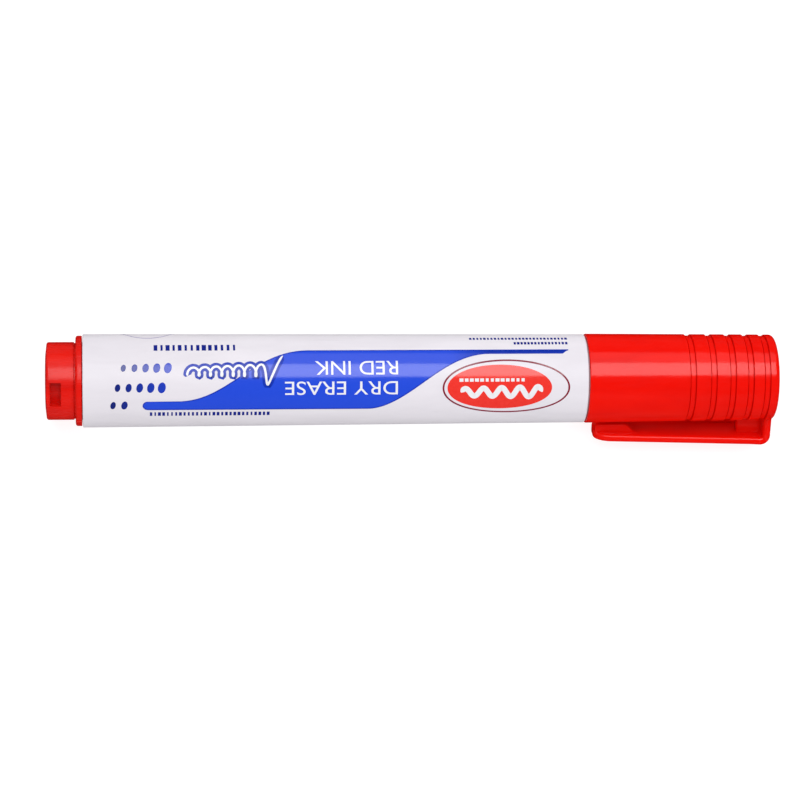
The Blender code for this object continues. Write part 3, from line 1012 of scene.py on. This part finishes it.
def thicken(obj):
    """Gives a wrapped print its inner side and rims, so that it is a closed thin solid."""
    bm = bmesh.new()
    bm.from_mesh(obj.data)
    bmesh.ops.remove_doubles(bm, verts=bm.verts[:], dist=1e-7)
    for face in bm.faces:
        middle = face.calc_center_median() - Vector((0.0, AXIS_Y, AXIS_Z))
        if face.normal.dot(Vector((0.0, middle.y, middle.z))) < 0:
            face.normal_flip()
    outer = bm.faces[:]
    rims = [edge for edge in bm.edges if edge.is_boundary]
    copy = bmesh.ops.duplicate(bm, geom=bm.verts[:] + bm.edges[:] + outer)
    below = copy["vert_map"]
    for vert in {vert for face in outer for vert in face.verts}:
        twin = below[vert]
        away = Vector((0.0, twin.co.y - AXIS_Y, twin.co.z - AXIS_Z)).normalized()
        twin.co -= away * PRINT_DEPTH
    inner = [item for item in copy["geom"] if isinstance(item, bmesh.types.BMFace)]
    for face in inner:
        face.normal_flip()
    for edge in rims:
        first, second = edge.verts
        loop = edge.link_loops[0]
        if loop.vert is first:
            first, second = second, first
        bm.faces.new((first, second, below[second], below[first]))
    bm.to_mesh(obj.data)
    bm.free()
    shaded(obj.data, 50)


def wrapped(flat, wrap, ink, lift=PRINT_LIFT):
    """Wraps a flat print on the barrel, makes it a thin solid and lets it ride."""
    modifier = flat.modifiers.new("wrap", "NODES")
    modifier.node_group = wrap
    sizes = {
        "Rear Place": BARREL_REAR,
        "Front Place": SHOULDER,
        "Rear Radius": BARREL_REAR_RADIUS,
        "Front Radius": BARREL_FRONT_RADIUS,
        "Axis Y": AXIS_Y,
        "Axis Z": AXIS_Z,
        "Lift": lift,
        "Ink": ink,
    }
    set_inputs(modifier, sizes)
    piece = baked(flat, ink)
    thicken(piece)
    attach(piece, "barrel")


def flat_row(name, tree, values, ink):
    """A flat row of marks, made by a tree."""
    holder = bpy.data.objects.new(name, bpy.data.meshes.new(name))
    bpy.context.scene.collection.objects.link(holder)
    modifier = holder.modifiers.new("row", "NODES")
    modifier.node_group = tree
    set_inputs(modifier, {**values, "Ink": ink})
    return baked(holder)


def swoosh_outline():
    """The blue band: a slim tail by the dots, a broad middle, and a slim tail over the badge."""
    low, tail_top, high_low, high = -6.0 * MM, -4.23 * MM, 5.04 * MM, 5.84 * MM
    outline = arc(-50.6 * MM, (low + tail_top) / 2, 1.0 * MM, (tail_top - low) / 2, 90, 270, 10)
    fall = ((-9.0 * MM, low), (-3.0 * MM, low), (5.5 * MM, high_low), (14.0 * MM, high_low))
    outline += bezier(fall, 24)
    outline += [(28.2 * MM, high_low), (29.3 * MM, high)]
    rise = ((-20.5 * MM, high), (-29.5 * MM, high), (-36.5 * MM, tail_top), (-44.5 * MM, tail_top))
    outline += bezier(rise, 24)
    return outline


def scribble():
    """A looping pen line with a long first stroke, as a hand tests a new marker."""
    flick = ((-25.2, 4.7), (-25.9, 4.1), (-27.2, 0.8), (-28.0, -0.8))
    back = ((-28.0, -0.8), (-28.6, -1.9), (-28.2, 2.9), (-29.3, 2.9))
    points = bezier(flick, 14) + bezier(back, 14)[1:]
    steps, loops = 150, 6.5
    for step in range(1, steps + 1):
        t = step / steps
        turn = t * math.tau * loops
        x = -29.3 - 13.9 * t - 0.5 * math.sin(turn)
        y = 1.75 - 0.2 * t + (1.15 - 0.4 * t) * math.cos(turn)
        points.append((x, y))
    return [(x * MM, y * MM) for x, y in points]


def dot_rows(wrap, ink):
    """Three rows of dots behind the band: count, then DOT_SIZES in mm."""
    tree = dot_row_tree()
    rows = (
        ("print_dots_a", 5, -55.28, 2.09, 2.30, 0.95, 1.45, 1.38, 2.05),
        ("print_dots_b", 5, -56.37, 2.075, -1.47, 1.02, 1.47, 1.48, 2.08),
        ("print_dots_c", 2, -57.23, 2.14, -5.02, 1.00, 1.18, 1.62, 1.80),
    )
    slant = math.radians(-12)
    for name, count, *sizes in rows:
        values = {label: size * MM for label, size in zip(DOT_SIZES, sizes)}
        values.update({"Count": count, "Slant": slant})
        wrapped(flat_row(name, tree, values, ink), wrap, ink)


def bar_rows(wrap, dark, white):
    """Rows of bars in place of fine print: ink, lift, count, seed, then BAR_SIZES in mm."""
    tree = bar_row_tree()
    rows = (
        ("print_lines_a", dark, PRINT_LIFT, 14, 4, -49.2, 1.14, 6.75, 1.5, 0.35, 0.85),
        ("print_lines_b", dark, PRINT_LIFT, 29, 9, -50.1, 0.79, -7.15, 0.95, 0.28, 0.58),
        ("print_lines_c", dark, PRINT_LIFT, 16, 5, 19.2, 0.66, 7.70, 0.75, 0.34, 0.5),
        ("print_lines_d", dark, PRINT_LIFT, 28, 7, 10.8, 0.68, 9.35, 0.80, 0.34, 0.5),
        ("print_badge_line", white, WORD_LIFT, 13, 3, 8.6, 0.98, -0.30, 0.62, 0.5, 0.78),
    )
    for name, ink, lift, count, seed, *sizes in rows:
        values = {label: size * MM for label, size in zip(BAR_SIZES, sizes)}
        values.update({"Count": count, "Seed": seed})
        wrapped(flat_row(name, tree, values, ink), wrap, ink, lift)


def badge_print(wrap, red, maroon, white):
    """The red oval in its thin ring, with a plain wave on it."""
    oval = arc(15.93 * MM, -1.78 * MM, 10.0 * MM, 4.43 * MM, 0, 360, 96)[:-1]
    wrapped(flat_print("print_badge", oval), wrap, red)
    centre, outer, inner = (17.2 * MM, -1.79 * MM), (12.2 * MM, 5.5 * MM), (11.86 * MM, 5.16 * MM)
    wrapped(flat_ring("print_badge_ring", centre, outer, inner), wrap, maroon)
    wave = []
    steps, crests = 108, 4.5
    for step in range(steps + 1):
        t = step / steps
        x = 24.1 - 15.6 * t
        y = -2.65 + (1.05 - 0.35 * t) * math.sin(t * math.tau * crests)
        wave.append((x * MM, y * MM))
    wrapped(stroke("print_badge_wave", wave, 1.05 * MM), wrap, white, WORD_LIFT)


def make_print(inks):
    """All the print: the band with its words and scribble, the rings, dots, badge and bars."""
    wrap = wrap_tree()
    white, edge = inks["white"], inks["edge"]
    band = swoosh_outline()
    wrapped(flat_print("print_band", band), wrap, inks["blue"])
    wrapped(stroke("print_band_edge", band + band[:1], 0.2 * MM), wrap, edge, WORD_LIFT)
    words = (
        ("print_word_upper", "DRY ERASE", (-3.5 * MM, -0.4 * MM), 2.6 * MM, 21.4 * MM),
        ("print_word_lower", "RED INK", (-3.45 * MM, 3.5 * MM), 2.65 * MM, 15.75 * MM),
    )
    for name, letters, place, height, width in words:
        wrapped(flat_words(name, letters, place, height, width), wrap, white, WORD_LIFT)
    wrapped(stroke("print_scribble_edge", scribble(), 1.5 * MM), wrap, edge, TOP_LIFT)
    wrapped(stroke("print_scribble", scribble(), 0.42 * MM), wrap, white, CORE_LIFT)
    centre, outer, inner = (-50.7 * MM, 15.0 * MM), (5.2 * MM, 5.2 * MM), (5.0 * MM, 5.0 * MM)
    wrapped(flat_ring("print_far_ring", centre, outer, inner), wrap, inks["lilac"])
    dot_rows(wrap, inks["navy"])
    badge_print(wrap, inks["red"], inks["maroon"], white)
    bar_rows(wrap, inks["dark"], white)


# ------------------------ studio


def make_table(material):
    """A table 6 m across, a hair below the marker."""
    bm = bmesh.new()
    half, gap = 3.0, 0.02 * MM
    bmesh.ops.create_grid(bm, x_segments=4, y_segments=4, size=half)
    floor = plain_object("table_top", bm, material)
    floor.location.z = cad_box[0][2] - gap
    floor.visible_glossy = False


def make_camera():
    """Over the marker from about 63 cm, a little towards its rear, and rolled very slightly."""
    height, aim_x, aim_y = 625.8 * MM, -2.39 * MM, AXIS_Y - 4.0 * MM
    tilt, roll = math.radians(4.91), 0.0058
    out = Vector((math.sin(tilt), 0.0, -math.cos(tilt)))
    right = Vector((math.cos(tilt), 0.0, math.sin(tilt)))
    up = Vector((0.0, 1.0, 0.0))
    rolled_right = right * math.cos(roll) - up * math.sin(roll)
    rolled_up = up * math.cos(roll) + right * math.sin(roll)
    data = bpy.data.cameras.new("camera")
    data.lens = 147.3
    data.sensor_width = 36.0
    camera = bpy.data.objects.new("camera", data)
    camera.matrix_world = Matrix(
        (
            (rolled_right.x, rolled_up.x, -out.x, aim_x - height * math.tan(tilt)),
            (rolled_right.y, rolled_up.y, -out.y, aim_y),
            (rolled_right.z, rolled_up.z, -out.z, AXIS_Z + height),
            (0.0, 0.0, 0.0, 1.0),
        )
    )
    bpy.context.scene.collection.objects.link(camera)
    bpy.context.scene.camera = camera


def area_light(name, place, aim, width, length, radiance):
    """A flat panel of this radiance, which faces what it aims at."""
    data = bpy.data.lights.new(name, "AREA")
    data.shape = "RECTANGLE"
    data.size, data.size_y = width, length
    data.energy = math.pi * width * length * radiance
    light = bpy.data.objects.new(name, data)
    out = (Vector(aim) - Vector(place)).normalized()
    facing = out.to_track_quat("-Z", "Y").to_matrix().to_4x4()
    light.matrix_world = Matrix.Translation(place) @ facing
    bpy.context.scene.collection.objects.link(light)
    return light


def make_lights():
    """A long softbox over the far side, a weak panel beyond it, a low fill, and white all round."""
    over, below, middle = (0.07, 0.271, 0.60), (0.07, 0.271, 0.0), (0.0, 0.0, 0.0)
    area_light("softbox", over, below, width=0.70, length=0.418, radiance=3.6)
    beyond, near_side = (0.05, 0.711, 0.515), (0.0, -0.75, 0.42)
    far_panel = area_light("far_panel", beyond, middle, width=1.2, length=0.467, radiance=0.85)
    far_panel.visible_diffuse = False
    low_fill = area_light("low_fill", near_side, middle, width=1.0, length=0.5, radiance=1.15)
    low_fill.visible_glossy = False
    world = bpy.data.worlds.new("studio")
    world.use_nodes = True
    nodes, links = world.node_tree.nodes, world.node_tree.links
    background = nodes["Background"]
    background.inputs["Color"].default_value = (0.97, 0.96, 1.0, 1.0)
    rays = nodes.new("ShaderNodeLightPath")
    level = nodes.new("ShaderNodeMapRange")
    level.inputs["To Min"].default_value = 0.505
    level.inputs["To Max"].default_value = 0.0
    links.new(rays.outputs["Is Glossy Ray"], level.inputs["Value"])
    links.new(level.outputs["Result"], background.inputs["Strength"])
    bpy.context.scene.world = world
    bpy.context.scene.view_settings.view_transform = "Standard"


def make_inks():
    """The printed inks, each from its deeper to its paler colour, or faded along the marker. The
    blue band's own colour is print; its fade, darker from 7 to 14 mm onto the band's slim tail, is
    painted shade.
    """
    # blue: the band's print colour, then a darker colour that paints shade on its slim tail
    blue = ((0.018, 0.070, 0.67), (0.005, 0.026, 0.33))
    edge = ((0.007, 0.032, 0.38), (0.009, 0.040, 0.46))
    navy = ((0.009, 0.018, 0.17), (0.018, 0.056, 0.56))
    return {
        "blue": print_ink("ink_blue", blue, fade=(7 * MM, 14 * MM)),
        "edge": print_ink("ink_band_edge", edge, gloss=0.4),
        "dark": print_ink("ink_dark_blue", ((0.008, 0.016, 0.20), (0.012, 0.024, 0.27))),
        "navy": print_ink("ink_navy", navy, fade=(-57 * MM, -46 * MM)),
        "white": print_ink("ink_white", ((0.80, 0.80, 0.82), (0.86, 0.86, 0.87))),
        "red": print_ink("ink_red", ((0.82, 0.032, 0.022), (0.88, 0.042, 0.030))),
        "maroon": print_ink("ink_maroon", ((0.20, 0.012, 0.030), (0.28, 0.020, 0.045))),
        "lilac": print_ink("ink_lilac", ((0.34, 0.31, 0.50), (0.42, 0.39, 0.58))),
    }


def main():
    make_camera()
    make_lights()
    make_table(table_top("table_top"))
    white = moulded_plastic(
        "barrel_white_plastic",
        ((0.74, 0.71, 0.75), (0.77, 0.74, 0.78), (0.79, 0.76, 0.80)),
        roughness=(0.26, 0.36),
        gloss=0.18,
    )
    red = moulded_plastic(
        "cap_red_plastic",
        ((0.80, 0.0035, 0.0007), (0.85, 0.0045, 0.0009), (0.88, 0.006, 0.0012)),
        roughness=(0.11, 0.20),
        gloss=0.38,
    )
    plug_red = moulded_plastic(
        "plug_red_plastic",
        ((0.64, 0.004, 0.0008), (0.75, 0.0055, 0.0011), (0.80, 0.008, 0.0014)),
        roughness=(0.20, 0.32),
        gloss=0.32,
        peel=0.20,
    )
    nose_white = moulded_plastic(
        "nose_white_plastic",
        ((0.74, 0.73, 0.73), (0.82, 0.81, 0.81), (0.86, 0.85, 0.85)),
        roughness=(0.34, 0.46),
        gloss=0.4,
    )
    milky = moulded_plastic(
        "seal_milky_plastic",
        ((0.66, 0.68, 0.70), (0.74, 0.76, 0.78), (0.80, 0.82, 0.83)),
        roughness=(0.38, 0.50),
        gloss=0.4,
    )
    inks = make_inks()
    make_barrel(white)
    make_plug(plug_red)
    make_cap(red)
    make_clip(red)
    make_web(red)
    make_nose(nose_white)
    make_nib(soaked_fibre("nib_fibre", (0.22, 0.002, 0.004), (0.52, 0.012, 0.02), 2600.0))
    finish_inner_pieces(
        soaked_fibre("reservoir_fibre", (0.25, 0.003, 0.006), (0.55, 0.02, 0.03), 1500.0),
        clear_film("sleeve_film"),
        milky,
    )
    make_print(inks)


main()
